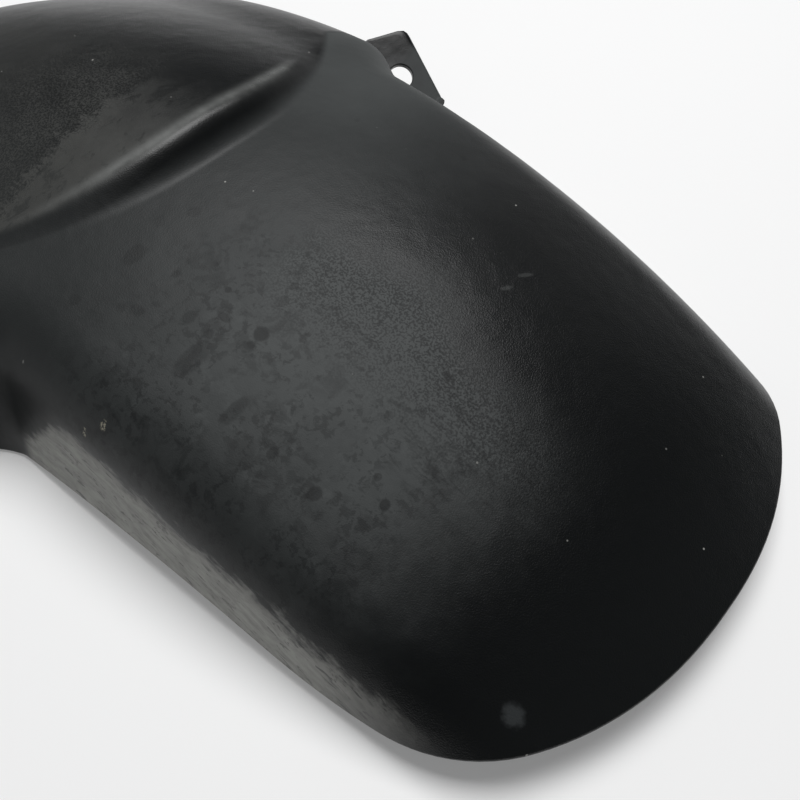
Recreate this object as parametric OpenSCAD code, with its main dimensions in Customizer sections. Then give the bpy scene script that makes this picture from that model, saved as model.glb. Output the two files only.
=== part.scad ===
// Motorcycle mudguard: one moulded shell that follows the wheel, with a
// rounded tail blade, a raised front panel behind a crescent step, drafted
// side walls that flare out beside the panel, and a bored fixing lug on each
// side. Millimetres.
// X runs forward (the tail is at -X), Y to the left, Z up; the side rims
// rest on Z = 0.

/* [Blade] */
// Radius of the crown along the wheel
arc_r = 334; // [300:1:380]
// Arc length of the crown from the step to the tail tip
tail_l = 174; // [150:1:200]
// Arc length of the crown from the step to the nose tip
nose_l = 180; // [160:1:200]
// Half width at the foot of the shoulders
half_w = 75; // [68:0.5:84]
// Half width at the foot of the shoulders, at the tail tip
tail_half_w = 71.5; // [64:0.5:80]
// Crown radius across the blade
cross_r = 205; // [160:1:300]
// Shoulder radius between crown and side wall
shoulder_r = 23; // [16:0.5:30]
// Draft of the side walls
draft = 12; // [6:0.5:18]
// Depth of the side wall below the shoulder, at the step
wall_d = 31; // [24:0.5:38]
// Wall thickness
wall_t = 2.5; // [2:0.1:3]

/* [Ends] */
// Length over which the tail outline rounds off
tail_round = 72.5; // [55:0.5:90]
// Fullness of the tail outline
tail_full = 2.4; // [2:0.1:3]
// Length over which the nose outline rounds off
nose_round = 78; // [60:0.5:90]
// Fullness of the nose outline
nose_full = 2.5; // [2:0.1:3]

/* [Flare] */
// How far each side wall stands out beside the front panel
flare_w = 10; // [0:0.5:12]
// Length over which the flare builds up, from the step forward
flare_run = 25; // [20:1:40]

/* [Step] */
// Height of the raised front panel at the crown
step_h = 6.5; // [4:0.5:9]
// Length of the sloping face of the step
step_run = 9; // [7:0.5:14]
// Arc position of the top edge of the step at the crown
step_s = -2; // [-5:0.5:2]
// How far the step sweeps forward at its ends
step_sweep = 31; // [20:1:34]
// Distance from the crown at which the step has faded out
step_reach = 68; // [60:1:75]

/* [Lugs] */
// Lug thickness
lug_t = 2.5; // [2:0.1:3]
// Diameter of the lug bore
lug_bore_d = 8.6; // [6.5:0.1:9]
// Outward tilt of the lugs
lug_tilt = 19; // [14:1:22]
// Forward rise of the lugs
lug_rise = 29; // [26:1:31]
// Corner radius of the lugs
lug_corner_r = 3.5; // [1:0.5:4]

/* [Hidden] */
$fn = 48;
black = [0.13, 0.14, 0.145];

// Sections of the grid: stations along the wheel and points across the shell
n_side = 16;
n_end = 16;
end_u = 0.995;
rad = 180 / PI;

// Across the blade: crown arc, shoulder arc, straight drafted wall
ph2 = 90 - draft;
function cross_ph1(w) = asin((w - shoulder_r * sin(ph2)) / (cross_r - shoulder_r));
function cross_q1(w) = cross_r * cross_ph1(w) / rad;
function cross_q2(w) = cross_q1(w) + shoulder_r * (ph2 - cross_ph1(w)) / rad;
function cross_h2(w) = -cross_r + (cross_r - shoulder_r) * cos(cross_ph1(w)) + shoulder_r * cos(ph2);
// point across the blade at arc length q from the crown: [sideways, up]
function cross_pt(q, w) =
    let (p1 = cross_ph1(w), q1 = cross_q1(w), q2 = cross_q2(w))
    q <= q1 ? let (p = q / cross_r * rad) [cross_r * sin(p), cross_r * (cos(p) - 1)]
    : let (p = p1 + (min(q, q2) - q1) / shoulder_r * rad,
           y = (cross_r - shoulder_r) * sin(p1) + shoulder_r * sin(p),
           h = -cross_r + (cross_r - shoulder_r) * cos(p1) + shoulder_r * cos(p),
           d = max(0, q - q2))
      [y + d * cos(ph2), h - d * sin(ph2)];

// Along the wheel: width, wall depth and outline at arc position s
function half_at(s) = s > 0 ? half_w + (tail_half_w - half_w) * s / tail_l : half_w;
rim_drop = wall_d * cos(draft) - cross_h2(half_w);
function wall_at(s) =
    s >= 0 ? wall_d * (1 - s / tail_l)
    : max(0, (cross_h2(half_w) - ((arc_r - rim_drop) / cos(s / arc_r * rad) - arc_r)) / cos(draft));
function outline(s) =
    let (ut = (s - tail_l + tail_round) / tail_round, un = (-s - nose_l + nose_round) / nose_round)
    ut > 0 ? pow(max(0, 1 - pow(ut, tail_full)), 1 / tail_full)
    : un > 0 ? pow(max(0, 1 - pow(un, nose_full)), 1 / nose_full) : 1;
function rim_q(s) = (cross_q2(half_at(s)) + wall_at(s)) * outline(s);

// Side walls flared outwards ahead of the step, starting on the shoulders
function ramp(t) = let (c = min(1, max(0, t))) c * c * (3 - 2 * c);
function flare(s) = flare_w * ramp((4 - s) / flare_run);
function flare_part(q) = ramp((q - 49) / 30);

// Raised front panel: a crescent step, highest at the crown
function sweep(q) = -step_sweep * pow(min(1, q / step_reach), 2.5);
function raise(s, q) =
    step_h * pow(max(0, 1 - pow(q / step_reach, 2)), 2)
    * ramp((step_s + step_run + sweep(q) - s) / step_run);

// Outer surface at arc position s and signed distance q across
function outer(s, q) =
    let (c = cross_pt(abs(q), half_at(s)), h = arc_r + c[1] + raise(s, abs(q)), a = s / arc_r * rad)
    [-h * sin(a), sign(q) * (c[0] + flare(s) * flare_part(abs(q))), h * cos(a) - arc_r];
function unit(v) = v / norm(v);
// cross() of rearward and leftward runs points down, so the sign is turned once
function normal_at(s, q) =
    let (e = 0.05) -unit(cross(outer(s + e, q) - outer(s - e, q), outer(s, q + e) - outer(s, q - e)));

// Stations: close at the rounded ends and over the step
function spread(a, b, n) = [for (k = [0:n - 1]) a + (b - a) * k / n];
st_nose = [for (k = [0:n_end - 1]) -(nose_l - nose_round) - nose_round * min(end_u, cos(90 * k / n_end))];
st_tail = [for (k = [0:n_end]) (tail_l - tail_round) + tail_round * min(end_u, sin(90 * k / n_end))];
stations = concat(st_nose, spread(-(nose_l - nose_round), -34, 8), spread(-34, 22, 26),
                  spread(22, tail_l - tail_round, 9), st_tail);
ns = len(stations);
// the stations near the step bend forward with it
function bend(s) = ramp((s + 95) / 55) * ramp((75 - s) / 50);
nc = 2 * n_side + 1;
function frac(j) = abs(j - n_side) / n_side;
function grid_s(i, j) = stations[i] + bend(stations[i]) * sweep(frac(j) * rim_q(stations[i]));
function grid_q(i, j) = sign(j - n_side) * frac(j) * rim_q(grid_s(i, j));

shell_outer = [for (i = [0:ns - 1]) [for (j = [0:nc - 1]) outer(grid_s(i, j), grid_q(i, j))]];
shell_inner = [for (i = [0:ns - 1]) [for (j = [0:nc - 1])
    shell_outer[i][j] - wall_t * normal_at(grid_s(i, j), grid_q(i, j))]];
// rounded rim: one point between the two skins, pushed out along the surface
function rim_pt(i, j, jn) =
    let (o = shell_outer[i][j], n = shell_inner[i][j], k = shell_outer[i][jn])
    (o + n) / 2 + wall_t * 0.35 * unit(o - k);
loops = [for (i = [0:ns - 1]) concat(
    shell_outer[i], [rim_pt(i, nc - 1, nc - 2)],
    [for (j = [0:nc - 1]) shell_inner[i][nc - 1 - j]], [rim_pt(i, 0, 1)])];
nl = 2 * nc + 2;

// Shift that stands the rims on Z = 0 with the ends level about the origin
nose_x = (arc_r + step_h) * sin(nose_l / arc_r * rad);
tail_x = arc_r * sin(tail_l / arc_r * rad);
base = [-(nose_x - tail_x) / 2, 0, rim_drop + wall_t * (0.35 * cos(draft) + 0.5 * sin(draft))];

module shell() {
    polyhedron(
        points = [for (l = loops, p = l) p],
        faces = concat(
            [for (i = [0:ns - 2], j = [0:nl - 1]) let (k = (j + 1) % nl)
                each [[i * nl + j, (i + 1) * nl + j, (i + 1) * nl + k],
                      [i * nl + j, (i + 1) * nl + k, i * nl + k]]],
            [for (e = [0, 1]) each end_cap(e)]),
        convexity = 6);
}
// end faces: strips between the two skins
function cap_in(j) = 2 * nc - j;
function end_cap(e) =
    let (o = e * (ns - 1) * nl,
         f = concat([for (j = [0:nc - 2]) each [[j, j + 1, cap_in(j + 1)], [j, cap_in(j + 1), cap_in(j)]]],
                    [[nc - 1, nc, nc + 1], [0, cap_in(0), nl - 1]]))
    [for (t = f) e == 0 ? [o + t[0], o + t[1], o + t[2]] : [o + t[2], o + t[1], o + t[0]]];

// Lug: plan outline round its bore, u forward and v outward; it starts from
// a root line in the middle of the wall's thickness
lug_at = [21.6, 99.1, -40.1];
lug_x = [cos(lug_rise), 0, sin(lug_rise)];
lug_y = [-sin(lug_tilt) * sin(lug_rise), cos(lug_tilt), sin(lug_tilt) * cos(lug_rise)];
lug_z = cross(lug_x, lug_y);
function wall_mid(s, h) =
    half_w + (cross_h2(half_w) - h) * tan(draft) + flare(s) - wall_t / 2 / cos(draft);
function lug_root(u, v = -13, n = 6) =
    n == 0 ? v
    : let (p = lug_at + u * lug_x + v * lug_y - lug_t / 2 * lug_z, r = norm([p[0], p[2] + arc_r]),
           s = -atan2(p[0], p[2] + arc_r) / rad * arc_r)
      lug_root(u, v + (wall_mid(s, r - arc_r) - p[1]) / cos(lug_tilt), n - 1);
lug_from = -20.8;
lug_to = 27;
n_root = 10;
lug_pts = concat(
    [[lug_from, lug_root(lug_from), 0], [lug_from, -11, 2], [-18.4, 5.9, lug_corner_r],
     [11.4, 12.6, lug_corner_r + 1], [18, -1, 6], [21.8, -8.2, 5], [24.3, -11.5, 3]],
    [for (k = [0:n_root - 1]) let (u = lug_to + (lug_from - lug_to) * k / n_root) [u, lug_root(u), 0]]);
function corner(p, a, b, r) =
    r == 0 ? [p]
    : let (u = unit(a - p), v = unit(b - p), half = acos(u * v) / 2, t = r / tan(half),
           c = p + unit(u + v) * r / sin(half), s = p + u * t - c, e = p + v * t - c,
           turn = atan2(s[0] * e[1] - s[1] * e[0], s * e))
      [for (k = [0:6]) let (g = turn * k / 6)
          c + [s[0] * cos(g) - s[1] * sin(g), s[0] * sin(g) + s[1] * cos(g)]];
function flat(p) = [p[0], p[1]];
module lug_outline() {
    n = len(lug_pts);
    polygon([for (i = [0:n - 1])
        each corner(flat(lug_pts[i]), flat(lug_pts[(i + n - 1) % n]), flat(lug_pts[(i + 1) % n]), lug_pts[i][2])]);
}
module lug() {
    translate(lug_at) rotate([0, -lug_rise, 0]) rotate([lug_tilt, 0, 0])
        difference() {
            translate([0, 0, -lug_t]) linear_extrude(lug_t) lug_outline();
            translate([0, 0, -lug_t - 1]) cylinder(d = lug_bore_d, h = lug_t + 2);
        }
}

module mudguard() {
    color(black) translate(base) union() {
        shell();
        lug();
        mirror([0, 1, 0]) lug();
    }
}

mudguard();
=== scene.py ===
import math
import bpy
import bmesh
import numpy as np
from mathutils import Matrix, Vector


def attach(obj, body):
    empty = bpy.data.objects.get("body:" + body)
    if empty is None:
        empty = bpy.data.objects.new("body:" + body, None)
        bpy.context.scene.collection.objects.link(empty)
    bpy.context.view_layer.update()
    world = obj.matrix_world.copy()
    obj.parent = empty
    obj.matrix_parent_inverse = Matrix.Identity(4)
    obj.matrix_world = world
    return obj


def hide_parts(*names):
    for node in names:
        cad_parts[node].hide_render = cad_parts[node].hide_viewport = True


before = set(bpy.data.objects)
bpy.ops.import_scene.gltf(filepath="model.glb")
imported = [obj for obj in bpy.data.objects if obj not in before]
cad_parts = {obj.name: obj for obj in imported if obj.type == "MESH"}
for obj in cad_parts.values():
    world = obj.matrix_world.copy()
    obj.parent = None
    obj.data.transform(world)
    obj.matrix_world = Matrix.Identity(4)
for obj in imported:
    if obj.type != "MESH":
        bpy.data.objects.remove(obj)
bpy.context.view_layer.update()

# ---------------------------------------------------------------- dimensions (mm), as in the construction
ARC_R, TAIL_L, NOSE_L = 334.0, 174.0, 180.0
HALF_W, TAIL_HALF_W = 75.0, 71.5
CROSS_R, SHOULDER_R, DRAFT, WALL_D, WALL_T = 205.0, 23.0, math.radians(12.0), 31.0, 2.5
TAIL_ROUND, TAIL_FULL, NOSE_ROUND, NOSE_FULL = 72.5, 2.4, 78.0, 2.5
FLARE_W, FLARE_RUN = 10.0, 25.0
STEP_H, STEP_RUN, STEP_S, STEP_SWEEP, STEP_REACH = 6.5, 9.0, -2.0, 31.0, 68.0
LUG_T, LUG_BORE_R, LUG_TILT, LUG_RISE = 2.5, 4.3, math.radians(19.0), math.radians(29.0)
LUG_AT = np.array([21.6, 99.1, -40.1])

PH2 = math.pi / 2 - DRAFT


def ph1_of(w):
    return np.arcsin((w - SHOULDER_R * math.sin(PH2)) / (CROSS_R - SHOULDER_R))


def q2_of(w):
    p1 = ph1_of(w)
    return CROSS_R * p1 + SHOULDER_R * (PH2 - p1)


def h2_of(w):
    return -CROSS_R + (CROSS_R - SHOULDER_R) * np.cos(ph1_of(w)) + SHOULDER_R * math.cos(PH2)


def cross_pt(q, w):
    """point across the blade at arc length q >= 0 from the crown: sideways, up"""
    p1 = ph1_of(w)
    q1 = CROSS_R * p1
    q2 = q1 + SHOULDER_R * (PH2 - p1)
    pa = q / CROSS_R
    pb = p1 + (np.minimum(q, q2) - q1) / SHOULDER_R
    d = np.maximum(0, q - q2)
    ya, ha = CROSS_R * np.sin(pa), CROSS_R * (np.cos(pa) - 1)
    yb = (CROSS_R - SHOULDER_R) * np.sin(p1) + SHOULDER_R * np.sin(pb) + d * math.cos(PH2)
    hb = -CROSS_R + (CROSS_R - SHOULDER_R) * np.cos(p1) + SHOULDER_R * np.cos(pb) - d * math.sin(PH2)
    a = q <= q1
    return np.where(a, ya, yb), np.where(a, ha, hb)


def half_at(s):
    return np.where(s > 0, HALF_W + (TAIL_HALF_W - HALF_W) * s / TAIL_L, HALF_W)


RIM_DROP = WALL_D * math.cos(DRAFT) - float(h2_of(HALF_W))
BASE = np.array([-((ARC_R + STEP_H) * math.sin(NOSE_L / ARC_R) - ARC_R * math.sin(TAIL_L / ARC_R)) / 2,
                 0.0, RIM_DROP + WALL_T * (0.35 * math.cos(DRAFT) + 0.5 * math.sin(DRAFT))])


def wall_at(s):
    front = (float(h2_of(HALF_W)) - ((ARC_R - RIM_DROP) / np.cos(s / ARC_R) - ARC_R)) / math.cos(DRAFT)
    return np.where(s >= 0, WALL_D * (1 - s / TAIL_L), np.maximum(0, front))


def outline(s):
    ut = np.clip((s - TAIL_L + TAIL_ROUND) / TAIL_ROUND, 0, 1)
    un = np.clip((-s - NOSE_L + NOSE_ROUND) / NOSE_ROUND, 0, 1)
    return (1 - ut ** TAIL_FULL) ** (1 / TAIL_FULL) * (1 - un ** NOSE_FULL) ** (1 / NOSE_FULL)


def rim_q(s):
    return (q2_of(half_at(s)) + wall_at(s)) * outline(s)


def ramp(t):
    c = np.clip(t, 0, 1)
    return c * c * (3 - 2 * c)


def flare(s, q):
    return FLARE_W * ramp((4 - s) / FLARE_RUN) * ramp((q - 49) / 30)


def raise_at(s, q):
    return STEP_H * np.maximum(0, 1 - (q / STEP_REACH) ** 2) ** 2 \
        * ramp((STEP_S + STEP_RUN - STEP_SWEEP * np.minimum(1, q / STEP_REACH) ** 2.5 - s) / STEP_RUN)


def place(s, y, h):
    """from arc position, sideways and height above the crown arc to the row's frame"""
    a = s / ARC_R
    return np.stack([-(ARC_R + h) * np.sin(a), y + 0 * a, (ARC_R + h) * np.cos(a) - ARC_R], -1)


def outer(s, q):
    y, h = cross_pt(np.abs(q), half_at(s))
    return place(s, np.sign(q) * (y + flare(s, np.abs(q))), h + raise_at(s, np.abs(q)))


def normal(s, q):
    e = 0.05
    n = np.cross(outer(s, q + e) - outer(s, q - e), outer(s + e, q) - outer(s - e, q))
    return n / np.linalg.norm(n, axis=-1, keepdims=True)


# ---------------------------------------------------------------- lug, in the section plane at arc position s
TAN_A, TAN_B = math.tan(LUG_TILT) / math.cos(LUG_RISE), math.tan(LUG_RISE)


def lug_h(s, y, drop=0.0):
    """height above the crown arc of the lug's top plane, or of its underside with drop"""
    z0 = LUG_AT[2] - drop * math.sqrt(1 + TAN_A ** 2 + TAN_B ** 2)
    a = s / ARC_R
    return (ARC_R + z0 + TAN_A * (y - LUG_AT[1]) - TAN_B * LUG_AT[0]) / (np.cos(a) + TAN_B * np.sin(a)) - ARC_R


CA, SA, CB, SB = math.cos(LUG_TILT), math.sin(LUG_TILT), math.cos(LUG_RISE), math.sin(LUG_RISE)
LUG_U, LUG_V, LUG_N = np.array([CB, 0, SB]), np.array([-SA * SB, CA, SA * CB]), np.array([-SB * CA, -SA, CB * CA])
# outline on the lug's top plane (forward, outward) and how far each corner is rounded off
LUG_PTS = np.array([(-20.8, -20.0), (-20.8, -11.0), (-18.4, 5.9), (12.6, 12.85), (18.0, -1.0),
                    (21.8, -8.2), (24.3, -11.5), (28.0, -14.6), (32, -17.0)])
LUG_CUT = [0, 2, 3.0, 2.4, 4, 6, 4, 3, 0]


def lug_outline():
    pts = [LUG_PTS[0]]
    for p, c, n, k in zip(LUG_PTS[:-2], LUG_PTS[1:-1], LUG_PTS[2:], LUG_CUT[1:-1]):
        a, b = (p - c) / np.linalg.norm(p - c), (n - c) / np.linalg.norm(n - c)
        k = min(k, 0.48 * np.linalg.norm(p - c), 0.48 * np.linalg.norm(n - c))
        if k <= 0:
            pts.append(c)
            continue
        for t in np.linspace(0, 1, 9):
            pts.append((1 - t) ** 2 * (c + a * k) + 2 * t * (1 - t) * c + t * t * (c + b * k))
    pts.append(LUG_PTS[-1])
    return np.array(pts)


OUTLINE = lug_outline()


def lug_reach(s, y0, slope):
    """how far the lug stands out from sideways position y0 at arc position s, along the section plane"""
    t = np.arange(-1.0, 42.0, 0.02)
    P = place(np.full_like(t, s), y0 + t / math.sqrt(1 + slope * slope), lug_h(s, y0 + t / math.sqrt(1 + slope * slope)))
    u, v = (P - LUG_AT) @ LUG_U, (P - LUG_AT) @ LUG_V
    edge = np.interp(u, OUTLINE[:, 0], OUTLINE[:, 1], left=-99, right=-99)
    out = np.where(v > edge)[0]
    return max(0.0, float(t[out[0]])) if len(out) else 42.0


N_MAIN, N_TOP, N_EDGE, N_UNDER, N_LOW = 42, 20, 6, 10, 6
S_A, S_B = -42.0, 26.0
T_SEC = LUG_T / math.sqrt(1 - LUG_N[0] ** 2)
COVE, COVE_LOW = 9.0, 3.5


def side_profile(s):
    """one side of the outer profile at arc position s, crown to rim: (q or None, y, h)"""
    w = float(half_at(s))
    qr = float(rim_q(s))
    q = np.linspace(0, qr, 1600)
    y, h = cross_pt(q, w)
    y, h = y + flare(s, q), h + raise_at(s, q)

    def meet(drop):
        f = h - lug_h(s, y, drop)
        i = np.where((f > 0) & (y > 40))[0]
        k = i[-1] if len(i) else len(q) - 1
        if k >= len(q) - 1:
            return qr
        t = f[k] / (f[k] - f[k + 1])
        return q[k] + t * (q[k + 1] - q[k])

    gap = LUG_T + 1.0
    qa = min(meet(0.0), qr - gap)
    qb = min(max(meet(LUG_T), qa + LUG_T * 1.02), qr - 0.6)
    at = lambda v: np.array([np.interp(v, q, y), np.interp(v, q, h)])
    ca, cb = at(qa), at(qb)
    out = np.array([1.0, float(lug_h(s, 101.0) - lug_h(s, 100.0))])
    e = lug_reach(s, ca[0], out[1])
    out /= np.linalg.norm(out)
    full = min(1.0, e / T_SEC)
    er = max(0.0, e - T_SEC / 2)
    tip_a = ca + out * er
    # underside tip straight below the top one, across the thickness
    down = np.array([out[1], -out[0]])
    tip_b = cb * (1 - full) + (tip_a + down * T_SEC) * full
    g1 = COVE
    pts = []
    for v in np.linspace(0, qa - g1, N_MAIN + 1):
        pts.append(at(v))
    gg = min(COVE, er * 0.8)
    for t in np.linspace(0, 1, N_TOP + 1)[1:]:
        x = t * (g1 + er)
        if x <= g1 - gg or gg < 1e-6:
            pts.append(at(qa - g1 + x) if x <= g1 else ca + out * (x - g1))
        elif x < g1 + gg:
            b = (x - (g1 - gg)) / (2 * gg)
            pts.append((1 - b) ** 2 * at(qa - gg) + 2 * b * (1 - b) * ca + b * b * (ca + out * gg))
        else:
            pts.append(ca + out * (x - g1))
    for t in np.linspace(0, 1, N_EDGE + 1)[1:]:
        mid = tip_a * (1 - t) + tip_b * t
        if full > 0.999:
            c = (tip_a + tip_b) / 2
            an = math.pi * t
            pts.append(c + (tip_a - c) * math.cos(an) + out * (T_SEC / 2) * math.sin(an))
        else:
            pts.append(mid + out * (T_SEC / 2) * full * math.sin(math.pi * t))
    g2 = min(COVE_LOW, qr - qb - 0.3)
    er2 = np.linalg.norm(tip_b - cb)
    uo = (tip_b - cb) / er2 if er2 > 1e-6 else out
    gu = min(g2, er2 * 0.85)
    for t in np.linspace(0, 1, N_UNDER + 1)[1:]:
        x = t * (er2 + g2)
        if x <= er2 - gu or gu < 1e-6:
            pts.append(cb + uo * (er2 - x) if x <= er2 else at(qb + x - er2))
        elif x < er2 + gu:
            b = (x - (er2 - gu)) / (2 * gu)
            pts.append((1 - b) ** 2 * (cb + uo * gu) + 2 * b * (1 - b) * cb + b * b * at(qb + gu))
        else:
            pts.append(at(qb + x - er2))
    for v in np.linspace(qb + g2, qr, N_LOW + 1)[1:]:
        pts.append(at(v))
    qs = np.concatenate([np.linspace(0, qa - g1, N_MAIN + 1), np.linspace(qa - g1, qa, N_TOP + 1)[1:],
                         np.linspace(qa, qb, N_EDGE + 1)[1:], np.linspace(qb, qb + g2, N_UNDER + 1)[1:],
                         np.linspace(qb + g2, qr, N_LOW + 1)[1:]])
    return qs / qr, np.array(pts)


def stations():
    k = np.linspace(0, 1, 41)
    nose = -(NOSE_L - NOSE_ROUND) - NOSE_ROUND * np.minimum(0.9996, np.cos(k * math.pi / 2))
    tail = (TAIL_L - TAIL_ROUND) + TAIL_ROUND * np.minimum(0.9996, np.sin(k * math.pi / 2))
    return np.concatenate([nose[:-1], np.linspace(-(NOSE_L - NOSE_ROUND), -42, 21)[:-1], np.linspace(-42, -24, 16)[:-1],
                           np.linspace(-24, -9, 28)[:-1], np.linspace(-9, -5, 20)[:-1], np.linspace(-5, 10, 26)[:-1],
                           np.linspace(10, 26, 20)[:-1], np.linspace(26, TAIL_L - TAIL_ROUND, 32)[:-1], tail])


def build_shell():
    S = stations()
    ns = len(S)
    fa, _ = side_profile(S_A)
    fb, _ = side_profile(S_B)
    nside = len(fa)
    O = np.zeros((ns, 2 * nside - 1, 3))
    I = np.zeros_like(O)
    lugz = np.zeros((ns, 2 * nside - 1))
    for i, s in enumerate(S):
        if S_A < s < S_B:
            f, p = side_profile(s)
            y, h = p[:, 0], p[:, 1]
            base_f = f
        else:
            base_f = fa if s <= S_A else fb
            q = base_f * float(rim_q(s))
            y, h = cross_pt(q, half_at(s))
            y, h = y + flare(s, q), h + raise_at(s, q)
        L = place(np.full(nside, s), y, h)
        O[i, nside - 1:] = L
        O[i, :nside - 1] = (L * [1, -1, 1])[:0:-1]
        # inner skin ignores the lug; its columns are even in arc length
        fi = np.linspace(0, 1, nside)
        q = fi * float(rim_q(s))
        ss = np.full(nside, s)
        P = outer(ss, q) - WALL_T * normal(ss, np.maximum(q, 1e-3))
        P[0, 1] = 0.0
        I[i, nside - 1:] = P
        I[i, :nside - 1] = (P * [1, -1, 1])[:0:-1]
    nc = 2 * nside - 1
    # closed boundary loops of both skins
    ring = [(i, 0) for i in range(ns)] + [(ns - 1, j) for j in range(1, nc)] \
        + [(i, nc - 1) for i in range(ns - 2, -1, -1)] + [(0, j) for j in range(nc - 2, 0, -1)]
    ri, rj = np.array(ring).T
    A, B = O[ri, rj], I[ri, rj]
    tang = np.roll(A, -2, 0) - np.roll(A, 2, 0)
    up = A - B
    con = np.cross(tang, up)
    con /= np.linalg.norm(con, axis=1, keepdims=True)
    cen = A.mean(0)
    if np.sum((A - cen) * con) < 0:
        con = -con
    mid, half = (A + B) / 2, (A - B) / 2
    m = 7
    verts = [O.reshape(-1, 3), I.reshape(-1, 3)]
    rings = [ri * nc + rj]
    off = O.shape[0] * nc * 2
    for k in range(1, m):
        an = math.pi * k / m
        verts.append(mid + half * math.cos(an) + con * (WALL_T * 0.34) * math.sin(an))
        rings.append(off + np.arange(len(ring)))
        off += len(ring)
    rings.append(ns * nc + ri * nc + rj)
    V = np.vstack(verts) + BASE
    idx = np.arange(ns * nc).reshape(ns, nc)
    q1 = np.stack([idx[:-1, :-1], idx[:-1, 1:], idx[1:, 1:], idx[1:, :-1]], -1).reshape(-1, 4)
    q2 = q1[:, ::-1] + ns * nc
    F = [q1, q2]
    for a, b in zip(rings[:-1], rings[1:]):
        a2, b2 = np.roll(a, -1), np.roll(b, -1)
        F.append(np.stack([a, a2, b2, b], -1))
    return V / 1000.0, np.vstack(F)


def mesh_from(name, V, F, material):
    me = bpy.data.meshes.new(name)
    me.from_pydata(V.tolist(), [], F.tolist())
    me.validate()
    bm = bmesh.new()
    bm.from_mesh(me)
    bmesh.ops.recalc_face_normals(bm, faces=bm.faces)
    bm.to_mesh(me)
    bm.free()
    me.materials.append(material)
    ob = bpy.data.objects.new(name, me)
    bpy.context.scene.collection.objects.link(ob)
    return ob


def lug_frame(side):
    """4x4 of the lug: origin in the bore on the top plane, X forward, Z out of the top"""
    ca, sa, cb, sb = math.cos(LUG_TILT), math.sin(LUG_TILT), math.cos(LUG_RISE), math.sin(LUG_RISE)
    u = Vector((cb, 0, sb))
    v = Vector((-sa * sb, ca * side, sa * cb)) * side
    n = Vector((-sb * ca, -sa * side, cb * ca))
    o = (LUG_AT * [1, side, 1] + BASE) / 1000
    return Matrix(((u.x, v.x, n.x, o[0]), (u.y, v.y, n.y, o[1]), (u.z, v.z, n.z, o[2]), (0, 0, 0, 1)))


def bore_cutter(side):
    """a turned cutter: bore with small broken edges on both faces"""
    r, t, b = LUG_BORE_R / 1000, LUG_T / 1000, 0.00035
    prof = [(r + b + 0.003, 0.003), (r, -b), (r, -t + b), (r + b + 0.003, -t - 0.003)]
    n = 64
    bm = bmesh.new()
    rings = []
    for rr, z in prof:
        rings.append([bm.verts.new((rr * math.cos(2 * math.pi * k / n), rr * math.sin(2 * math.pi * k / n), z)) for k in range(n)])
    for a, c in zip(rings[:-1], rings[1:]):
        for k in range(n):
            bm.faces.new((a[k], a[(k + 1) % n], c[(k + 1) % n], c[k]))
    bm.faces.new(rings[0][::-1])
    bm.faces.new(rings[-1])
    bmesh.ops.recalc_face_normals(bm, faces=bm.faces)
    me = bpy.data.meshes.new("bore_cutter")
    bm.to_mesh(me)
    bm.free()
    ob = bpy.data.objects.new("bore_cutter", me)
    ob.matrix_world = lug_frame(side)
    bpy.context.scene.collection.objects.link(ob)
    return ob


# ---------------------------------------------------------------- material
class Nodes:
    def __init__(self, mat):
        mat.use_nodes = True
        self.t = mat.node_tree
        self.t.nodes.clear()

    def n(self, kind, **kw):
        node = self.t.nodes.new(kind)
        for k, v in kw.items():
            if k == "inputs":
                for a, b in v.items():
                    node.inputs[a].default_value = b
            else:
                setattr(node, k, v)
        return node

    def l(self, a, b):
        self.t.links.new(a, b)

    def math(self, op, a, b=None, clamp=False):
        m = self.n("ShaderNodeMath", operation=op, use_clamp=clamp)
        for i, v in enumerate((a, b)):
            if v is None:
                continue
            if isinstance(v, (int, float)):
                m.inputs[i].default_value = v
            else:
                self.l(v, m.inputs[i])
        return m.outputs[0]

    def ramp(self, fac, lo, hi, a=0.0, b=1.0, smooth=True):
        m = self.n("ShaderNodeMapRange", interpolation_type="SMOOTHSTEP" if smooth else "LINEAR",
                   inputs={"From Min": lo, "From Max": hi, "To Min": a, "To Max": b})
        self.l(fac, m.inputs["Value"])
        return m.outputs["Result"]

    def mix(self, fac, a, b):
        m = self.n("ShaderNodeMix", data_type="RGBA")
        if isinstance(fac, (int, float)):
            m.inputs[0].default_value = fac
        else:
            self.l(fac, m.inputs[0])
        for i, v in ((6, a), (7, b)):
            if isinstance(v, tuple):
                m.inputs[i].default_value = v
            else:
                self.l(v, m.inputs[i])
        return m.outputs[2]


CRUMB_A, CRUMB_B, SCUFF = (40.4, 69.9), (35.6, 72.9), (152.6, 52.6)


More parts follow.
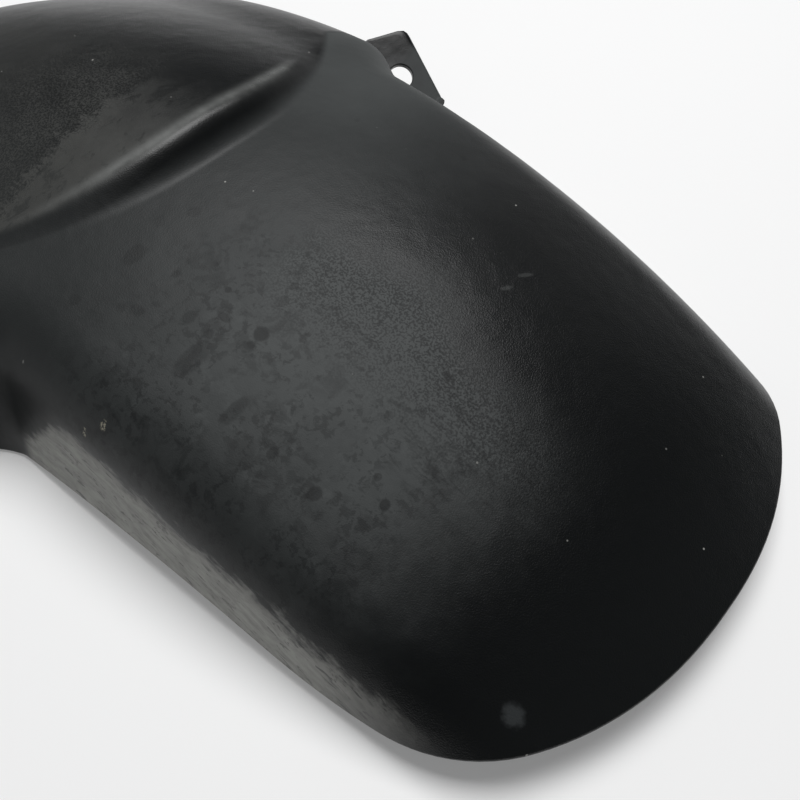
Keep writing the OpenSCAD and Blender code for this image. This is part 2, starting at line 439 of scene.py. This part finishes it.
def plastic():
    mat = bpy.data.materials.new("grained_black_plastic")
    g = Nodes(mat)
    out = g.n("ShaderNodeOutputMaterial")
    bsdf = g.n("ShaderNodeBsdfPrincipled", inputs={"Specular IOR Level": 0.25})
    g.l(bsdf.outputs[0], out.inputs[0])

    # coordinates in mm along the arc (s, towards the tail), sideways (y) and above the crown arc (h)
    tc = g.n("ShaderNodeTexCoord")
    shift = g.n("ShaderNodeVectorMath", operation="MULTIPLY_ADD")
    shift.inputs[1].default_value = (1000, 1000, 1000)
    shift.inputs[2].default_value = (-BASE[0], 0, ARC_R - BASE[2])
    g.l(tc.outputs["Object"], shift.inputs[0])
    sep = g.n("ShaderNodeSeparateXYZ")
    g.l(shift.outputs[0], sep.inputs[0])
    X, Y, Z = sep.outputs
    S = g.math("MULTIPLY", g.math("ARCTAN2", g.math("MULTIPLY", X, -1.0), Z), ARC_R)
    rad = g.math("SQRT", g.math("ADD", g.math("MULTIPLY", X, X), g.math("MULTIPLY", Z, Z)))
    H = g.math("SUBTRACT", rad, ARC_R)
    comb = g.n("ShaderNodeCombineXYZ")
    for i, v in enumerate((S, Y, H)):
        g.l(v, comb.inputs[i])
    T = comb.outputs[0]
    geo = g.n("ShaderNodeNewGeometry")
    nz = g.n("ShaderNodeSeparateXYZ")
    g.l(geo.outputs["Normal"], nz.inputs[0])
    UPWARD = g.ramp(nz.outputs[2], 0.0, 0.35)
    AY = g.math("ABSOLUTE", Y)

    def noise(scale, detail=3.0, rough=0.55, distort=0.0, stretch=None, offset=(0, 0, 0)):
        v = T
        if stretch or any(offset):
            m = g.n("ShaderNodeMapping")
            m.inputs["Location"].default_value = offset
            if stretch:
                m.inputs["Rotation"].default_value = (0, 0, stretch[1])
                m.inputs["Scale"].default_value = stretch[0]
            g.l(T, m.inputs["Vector"])
            v = m.outputs[0]
        t = g.n("ShaderNodeTexNoise", inputs={"Scale": scale, "Detail": detail, "Roughness": rough, "Distortion": distort})
        g.l(v, t.inputs["Vector"])
        return t.outputs["Fac"]

    mul = lambda a, b: g.math("MULTIPLY", a, b)
    add = lambda a, b: g.math("ADD", a, b)
    sub = lambda a, b: g.math("SUBTRACT", a, b)
    inv = lambda a: g.math("SUBTRACT", 1.0, a, clamp=True)
    top = lambda a, b: g.math("MAXIMUM", a, b)

    n28, n8, n2 = noise(0.035, 2.0), noise(0.12, 4.0, 0.6), noise(0.6, 4.0, 0.6)
    w28, w8, w2 = sub(n28, 0.5), sub(n8, 0.5), sub(n2, 0.5)

    # dust on the blade, its brightness partly a painted sheen standing in for the overhead light's reflection: an even
    # layer from the foot of the step, a denser one further back
    s_r = sub(-3.0, mul(g.math("POWER", g.math("MINIMUM", mul(AY, 1 / 68.0), 1.0), 2.5), 31.0))
    s_j = add(S, mul(w8, 16.0))
    y_j = add(Y, mul(w8, 12.0))
    face = mul(g.ramp(Y, 14.0, 46.0), 0.75)
    near = mul(top(g.ramp(sub(S, s_r), 4.6, 8.6), face), g.ramp(s_j, 76.0, 24.0))
    near = mul(near, add(0.405, mul(mul(g.ramp(y_j, -12.0, -48.0), g.ramp(S, 40.0, 6.0)), 0.50)))
    bulge = mul(sub(S, 72.0), 1 / 14.0)
    bulge = mul(g.math("POWER", 2.718, mul(mul(bulge, bulge), -1.0)), 10.0)
    dense = mul(g.ramp(add(sub(y_j, 10.0), bulge), -18.0, 14.0), g.ramp(y_j, 96.0, 30.0))
    dense = mul(dense, mul(g.ramp(s_j, 8.0, 58.0), g.ramp(s_j, 138.0, 90.0)))
    dust_and_sheen = sub(add(near, dense), mul(near, dense))
    dust_and_sheen = mul(dust_and_sheen, g.ramp(n28, 0.2, 0.6, 0.85, 1.04))
    # mottling: darker patches where water has stood
    bare = dust_and_sheen
    zone = mul(mul(g.ramp(s_j, 10.0, 42.0), g.ramp(s_j, 130.0, 100.0)), g.ramp(y_j, -14.0, 22.0))
    patch = mul(g.ramp(noise(0.19, 5.0, 0.65, 0.6, offset=(31, 7, 0)), 0.50, 0.60), g.ramp(noise(0.05, 2.0, offset=(5, 60, 0)), 0.40, 0.54))
    dust_and_sheen = mul(dust_and_sheen, g.math("SUBTRACT", 1.0, mul(mul(patch, zone), 0.32)))
    fleck = mul(g.ramp(noise(0.42, 6.0, 0.66, 0.4, offset=(3, 17, 5)), 0.50, 0.58), g.ramp(noise(0.09, 3.0, offset=(55, 2, 8)), 0.36, 0.52))
    dust_and_sheen = mul(dust_and_sheen, g.math("SUBTRACT", 1.0, mul(mul(fleck, zone), 0.42)))
    pale = mul(g.ramp(noise(0.22, 5.0, 0.62, 0.3, offset=(8, 41, 3)), 0.55, 0.68), zone)
    dust_and_sheen = mul(dust_and_sheen, add(1.0, mul(pale, 0.22)))
    # flow streaks along the tail end of the film
    flow = noise(0.32, 5.0, 0.62, 0.8, stretch=((0.5, 1.5, 1.0), 0.5), offset=(2, 9, 4))
    flow = mul(g.ramp(flow, 0.50, 0.64), mul(mul(g.ramp(S, 84.0, 98.0), g.ramp(S, 136.0, 118.0)), mul(g.ramp(Y, 2.0, 12.0), g.ramp(Y, 44.0, 28.0))))
    dust_and_sheen = mul(dust_and_sheen, g.math("SUBTRACT", 1.0, mul(flow, 0.45)))
    # small drop marks
    v = g.n("ShaderNodeTexVoronoi", feature="F1", inputs={"Scale": 0.14, "Randomness": 1.0})
    dv = g.n("ShaderNodeVectorMath", operation="ADD")
    wob = g.n("ShaderNodeVectorMath", operation="SCALE", inputs={"Scale": 2.6})
    wobn = g.n("ShaderNodeTexNoise", inputs={"Scale": 0.5, "Detail": 2.0})
    flat = g.n("ShaderNodeVectorMath", operation="MULTIPLY")
    flat.inputs[1].default_value = (1, 1, 0)
    g.l(T, wobn.inputs["Vector"])
    g.l(wobn.outputs["Color"], wob.inputs[0])
    g.l(T, flat.inputs[0])
    g.l(flat.outputs[0], dv.inputs[0])
    g.l(wob.outputs[0], dv.inputs[1])
    g.l(dv.outputs[0], v.inputs["Vector"])
    csep = g.n("ShaderNodeSeparateColor")
    g.l(v.outputs["Color"], csep.inputs[0])
    size = g.ramp(csep.outputs[0], 0.45, 1.0, 0.0, 0.20, smooth=False)
    drops = g.math("MULTIPLY", g.ramp(sub(v.outputs["Distance"], size), 0.03, -0.05), g.ramp(csep.outputs[0], 0.45, 0.5))
    drops = mul(drops, mul(g.ramp(S, 5.0, 20.0), g.ramp(S, 130.0, 100.0)))
    drops = mul(drops, g.ramp(csep.outputs[1], 0.0, 1.0, 0.25, 0.75))

    # larger drop marks: arc position, side position, half sizes in mm, strength
    def spot(cs, cy, rs, ry, edge=0.22, warp=0.5, angle=0.0):
        ds, dy = sub(S, cs), sub(Y, cy)
        if angle:
            c, n = math.cos(angle), math.sin(angle)
            ds, dy = add(mul(ds, c), mul(dy, n)), sub(mul(dy, c), mul(ds, n))
        a, b = mul(ds, 1 / rs), mul(dy, 1 / ry)
        d = g.math("SQRT", add(mul(a, a), mul(b, b)))
        d = add(d, mul(w2, warp))
        return g.ramp(d, 1.0 + edge, 1.0 - edge)

    marks = None
    for cs, cy, rs, ry, k in ((16.6, 20.6, 1.7, 1.6, 0.42), (12.3, 27.8, 1.7, 2.0, 0.22), (15.1, 38.4, 2.3, 3.4, 0.42),
                              (27.3, 35.6, 1.0, 1.1, 0.5), (39.9, 30.6, 0.8, 0.9, 0.7), (50.3, 19.5, 1.0, 1.3, 0.6),
                              (38.4, 41.3, 1.6, 2.0, 0.5), (44.5, 36.1, 1.9, 1.0, 0.55), (54.0, 33.4, 1.9, 1.9, 0.8),
                              (54.3, 36.8, 1.2, 0.9, 0.5), (45.1, 41.3, 1.2, 1.4, 0.5), (27.4, 47.8, 1.9, 1.3, 0.4),
                              (23.9, 49.5, 1.4, 1.4, 0.3), (46.8, 47.9, 2.6, 5.2, 0.42), (23.3, 29.0, 0.8, 0.9, 0.4),
                              (89.3, 50.9, 1.6, 1.7, 0.7), (101.9, 42.2, 1.2, 1.3, 0.8), (96.5, 39.0, 0.9, 0.9, 0.6),
                              (76.3, 50.8, 1.2, 1.6, 0.6), (63.1, 49.7, 1.6, 3.6, 0.35), (70.9, 55.3, 3.0, 3.6, 0.3)):
        m = mul(spot(cs, cy, rs, ry), k)
        marks = m if marks is None else top(marks, m)
    dust_and_sheen = mul(dust_and_sheen, g.math("SUBTRACT", 1.0, top(mul(marks, 0.85), mul(drops, 0.6))))
    # the thinnest trace of dust at the tail's end
    dust_and_sheen = add(dust_and_sheen, mul(g.ramp(S, 134.0, 168.0), 0.045))

    # raised front panel: a band behind its ridge, partly dust and partly a painted reflection of the overhead light,
    # ragged towards the front where that reflection ends, then thinner dust in the grain
    comb_n = noise(0.42, 4.0, 0.65, 0.5, stretch=((0.35, 1.6, 1.0), 0.25), offset=(4, 1, 7))
    rag = add(S, add(mul(sub(comb_n, 0.5), 16.0), mul(w8, 12.0)))
    band = mul(g.ramp(rag, -30.5, -23.5), g.ramp(sub(S, s_r), 3.4, -1.0))
    band = mul(band, g.ramp(y_j, -14.0, 27.0))
    haze = mul(mul(g.ramp(rag, -18.0, -30.0), g.ramp(y_j, -24.0, 12.0)), 0.42)
    stain = mul(g.ramp(noise(0.28, 5.0, 0.65, 0.5, stretch=((1.0, 0.5, 1.0), 0.35), offset=(9, 3, 2)), 0.52, 0.62), 0.45)
    band = mul(band, g.math("SUBTRACT", 1.0, stain))
    front = top(mul(band, g.ramp(n8, 0.3, 0.7, 0.85, 1.08)), mul(haze, g.ramp(n8, 0.3, 0.7, 0.7, 1.1)))
    front = mul(front, g.ramp(AY, 80.0, 64.0))

    # painted highlight along the top of the step, standing in for the light caught on its convex edge
    d_r = mul(sub(S, add(s_r, mul(w8, 0.8))), 1 / 1.9)
    ridge_highlight = g.math("POWER", 2.718, mul(mul(d_r, d_r), -1.0))
    ridge_highlight = mul(mul(ridge_highlight, mul(g.ramp(Y, 58.0, 22.0), g.ramp(Y, -43.0, -33.0))), g.ramp(n8, 0.35, 0.65, 0.6, 1.0))

    # road film thrown on the side walls, with drag streaks and chips; its pale colour is partly real dust and partly a
    # painted reflection of the pale floor
    h_b = sub(add(-31.0, mul(mul(S, S), 0.00068)), g.ramp(S, 28.0, 4.0, 0.0, 18.0))
    streak = noise(0.55, 4.0, 0.6, 0.3, stretch=((0.26, 1.0, 1.0), 0.0))
    wall = g.ramp(add(sub(H, h_b), add(mul(sub(streak, 0.5), 11.0), mul(w8, 7.0))), 4.2, -0.8)
    wall = mul(wall, g.ramp(add(S, mul(w8, 8.0)), 150.0, 112.0))
    lug_gap = top(g.ramp(add(S, mul(w8, 6.0)), 3.0, 9.0), g.ramp(S, -44.0, -54.0))
    wall = mul(mul(wall, lug_gap), g.ramp(AY, 60.0, 66.0))
    wall = mul(wall, g.ramp(streak, 0.25, 0.75, 0.62, 1.0))
    chip = mul(g.ramp(noise(0.55, 4.0, 0.65, 0.6, stretch=((0.32, 1.0, 1.0), 0.0), offset=(11, 3, 9)), 0.58, 0.64), g.ramp(n8, 0.40, 0.56))
    scratch = mul(g.ramp(noise(1.1, 3.0, 0.6, 0.3, stretch=((0.12, 1.0, 1.0), 0.0), offset=(1, 30, 2)), 0.61, 0.66), g.ramp(noise(0.1, 2.0, offset=(77, 3, 1)), 0.42, 0.55))
    wall = mul(wall, g.math("SUBTRACT", 1.0, mul(top(chip, scratch), 0.72)))

    # stray specks and a few beige crumbs
    vs = g.n("ShaderNodeTexVoronoi", feature="F1", inputs={"Scale": 0.13, "Randomness": 1.0})
    g.l(flat.outputs[0], vs.inputs["Vector"])
    ss = g.n("ShaderNodeSeparateColor")
    g.l(vs.outputs["Color"], ss.inputs[0])
    specks = mul(mul(g.ramp(vs.outputs["Distance"], 0.048, 0.022), g.ramp(ss.outputs[2], 0.78, 0.82)), g.ramp(ss.outputs[0], 0.0, 1.0, 0.35, 1.0))
    n_c = noise(1.5, 3.0, 0.7)
    crumbs = mul(top(spot(CRUMB_A[0], CRUMB_A[1], 0.9, 0.8, 0.3, 1.8), spot(CRUMB_B[0], CRUMB_B[1], 0.6, 0.5, 0.3, 1.8)), g.ramp(n_c, 0.44, 0.56))
    scuff = mul(spot(SCUFF[0], SCUFF[1], 2.5, 2.1, 0.45, 1.2), 0.34)
    rubs = top(spot(85.5, -26.2, 0.6, 2.0, 0.4, 0.8, 0.5), spot(85.0, -18.9, 0.6, 1.8, 0.4, 0.8, 0.4))

    # lug faces: worn ring round each bore, where a washer sat
    dx = g.n("ShaderNodeCombineXYZ")
    g.l(X, dx.inputs[0])
    g.l(AY, dx.inputs[1])
    g.l(g.math("SUBTRACT", Z, ARC_R), dx.inputs[2])
    dl = g.n("ShaderNodeVectorMath", operation="DISTANCE")
    dl.inputs[1].default_value = tuple(float(v) for v in LUG_AT)
    g.l(dx.outputs[0], dl.inputs[0])
    washer = mul(g.ramp(add(dl.outputs["Value"], mul(w2, 2.5)), 9.2, 7.4), g.ramp(n2, 0.3, 0.65, 0.35, 1.0))

    # leather grain
    g1 = g.n("ShaderNodeTexVoronoi", feature="SMOOTH_F1", inputs={"Scale": 2.7, "Smoothness": 0.3, "Randomness": 1.0})
    g2 = g.n("ShaderNodeTexNoise", inputs={"Scale": 2.6, "Detail": 2.0, "Roughness": 0.65})
    g.l(T, g1.inputs["Vector"])
    g.l(T, g2.inputs["Vector"])
    grain = add(mul(g1.outputs["Distance"], 0.8), mul(g2.outputs["Fac"], 0.7))

    # painted glints: grain-sized dots brighten and darken the dust colour where it thins out, on the blade and along
    # the front band's ragged edge, standing in for the grain's sparkle in the light
    glints = g.ramp(noise(1.9, 1.5, 0.5, offset=(13, 5, 40)), 0.40, 0.62)
    glint_zone = mul(mul(g.ramp(s_j, 34.0, 56.0), g.ramp(s_j, 150.0, 118.0)), mul(g.ramp(y_j, 36.0, 8.0), g.ramp(y_j, -38.0, -14.0)))
    dust_and_sheen = mul(dust_and_sheen, add(1.0, mul(mul(sub(glints, 0.46), 1.35), glint_zone)))
    front = mul(front, add(1.0, mul(mul(sub(glints, 0.46), 1.1), mul(g.ramp(rag, -20.0, -28.0), g.ramp(S, -75.0, -50.0)))))

    up_dust_and_sheen, up_front = mul(dust_and_sheen, UPWARD), mul(front, UPWARD)
    up_ridge_highlight = mul(ridge_highlight, UPWARD)
    tone = mul(w2, 0.25)
    # blade colour from the dust layer, partly real dust and partly a painted sheen of the overhead light
    c = g.mix(mul(up_dust_and_sheen, add(0.95, tone)), (0.0036, 0.0042, 0.0045, 1), (0.052, 0.0565, 0.0565, 1))
    # front band colour: dust plus a painted reflection of the overhead light
    c = g.mix(mul(up_front, add(0.95, tone)), c, (0.047, 0.048, 0.0455, 1))
    # painted highlight on the step's ridge: a lighter colour where the edge would catch the light
    c = g.mix(mul(up_ridge_highlight, 0.85), c, (0.150, 0.154, 0.150, 1))
    # pale wall colour: dust plus a painted reflection of the floor
    c = g.mix(mul(wall, add(0.92, tone)), c, (0.40, 0.40, 0.375, 1))
    c = g.mix(mul(specks, mul(UPWARD, 0.8)), c, (0.36, 0.36, 0.34, 1))
    c = g.mix(mul(crumbs, 0.85), c, (0.33, 0.31, 0.24, 1))
    c = g.mix(scuff, c, (0.085, 0.092, 0.095, 1))
    c = g.mix(mul(rubs, 0.5), c, (0.05, 0.053, 0.052, 1))
    c = g.mix(mul(washer, 0.6), c, (0.040, 0.042, 0.043, 1))
    g.l(c, bsdf.inputs["Base Color"])

    dusty = g.math("MAXIMUM", top(mul(bare, UPWARD), up_front), wall, clamp=True)
    rough = add(g.ramp(dusty, 0.0, 0.7, 0.32, 0.62, smooth=False), mul(w2, 0.05))
    rough = sub(rough, mul(up_ridge_highlight, 0.06))
    g.l(rough, bsdf.inputs["Roughness"])

    fill = mul(g.ramp(dusty, 0.0, 0.9, 1.0, 0.3, smooth=False), mul(g.ramp(AY, 78.0, 66.0, 0.3, 1.0), g.ramp(g.math("ABSOLUTE", sub(S, add(s_r, 3.0))), 4.0, 9.0, 0.45, 1.0)))
    bump = g.n("ShaderNodeBump", inputs={"Distance": 0.000055})
    g.l(fill, bump.inputs["Strength"])
    g.l(grain, bump.inputs["Height"])
    soft = g.n("ShaderNodeBump", inputs={"Strength": 1.0, "Distance": 0.00025})
    g.l(noise(0.10, 2.0), soft.inputs["Height"])
    g.l(soft.outputs[0], bump.inputs["Normal"])
    g.l(bump.outputs[0], bsdf.inputs["Normal"])
    return mat


mat = plastic()
V, F = build_shell()
shell = mesh_from("mudguard_shell", V, F, mat)
for side in (1, -1):
    cut = bore_cutter(side)
    mod = shell.modifiers.new("bore", "BOOLEAN")
    mod.operation = "DIFFERENCE"
    mod.object = cut
    mod.solver = "MANIFOLD"
    bpy.context.view_layer.update()
    dg = bpy.context.evaluated_depsgraph_get()
    me = bpy.data.meshes.new_from_object(shell.evaluated_get(dg))
    shell.modifiers.clear()
    old = shell.data
    shell.data = me
    bpy.data.meshes.remove(old)
    bpy.data.objects.remove(cut)
shell.data.name = "mudguard_shell"
bm = bmesh.new()
bm.from_mesh(shell.data)
for f in bm.faces:
    f.smooth = True
for e in bm.edges:
    if len(e.link_faces) == 2 and e.calc_face_angle(0) > math.radians(38):
        e.smooth = False
bm.to_mesh(shell.data)
print("shell", len(bm.verts), "verts", sum(len(f.verts) - 2 for f in bm.faces), "tris", sum(1 for e in bm.edges if not e.is_manifold), "open edges")
bm.free()

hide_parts("mudguard")
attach(shell, "root")

# ---------------------------------------------------------------- floor, light, camera
def stage_material():
    m = bpy.data.materials.new("floor")
    g = Nodes(m)
    out = g.n("ShaderNodeOutputMaterial")
    b = g.n("ShaderNodeBsdfPrincipled", inputs={"Base Color": (0.72, 0.72, 0.72, 1), "Roughness": 0.8})
    b.inputs["Emission Color"].default_value = (1, 1, 1, 1)
    b.inputs["Emission Strength"].default_value = 0.2
    g.l(b.outputs[0], out.inputs[0])
    return m


bpy.ops.mesh.primitive_plane_add(size=8, location=(0, 0, -0.0002))
floor = bpy.context.object
floor.name = "floor"
floor.data.materials.append(stage_material())

bpy.context.scene.view_settings.view_transform = "Standard"
world = bpy.data.worlds.new("world")
bpy.context.scene.world = world
world.use_nodes = True
bg = world.node_tree.nodes["Background"]
bg.inputs[0].default_value = (0.95, 0.98, 1.0, 1)
bg.inputs[1].default_value = 0.09


def area(name, loc, target, size, power, color=(1, 1, 1)):
    d = bpy.data.lights.new(name, "AREA")
    d.shape = "RECTANGLE"
    d.size, d.size_y = size
    d.energy = power
    d.color = color
    o = bpy.data.objects.new(name, d)
    o.location = loc
    o.rotation_euler = (Vector(target) - Vector(loc)).to_track_quat("-Z", "Y").to_euler()
    bpy.context.scene.collection.objects.link(o)
    return o


area("overhead", (0.16, -0.30, 1.25), (0, 0, 0), (0.75, 0.75), 17)
area("side", (0.05, -1.55, 0.50), (0, 0, 0), (1.3, 0.7), 1.0)

cam_d = bpy.data.cameras.new("camera")
cam_d.sensor_width = 36
cam_d.lens = 856.3 / 800 * 36
cam_d.clip_start = 0.01
cam = bpy.data.objects.new("camera", cam_d)
bpy.context.scene.collection.objects.link(cam)
az, el, roll = math.radians(221.0587), math.radians(54.336), math.radians(0.7167)
back = Vector((math.sin(az) * math.cos(el), -math.cos(az) * math.cos(el), math.sin(el)))
right = (-back).cross(Vector((0, 0, 1))).normalized()
up = right.cross(-back)
right, up = right * math.cos(roll) + up * math.sin(roll), up * math.cos(roll) - right * math.sin(roll)
loc = (np.array([-159.32, 106.92, 142.18]) + BASE) / 1000
cam.matrix_world = Matrix(((right.x, up.x, back.x, loc[0]), (right.y, up.y, back.y, loc[1]),
                           (right.z, up.z, back.z, loc[2]), (0, 0, 0, 1)))
bpy.context.scene.camera = cam
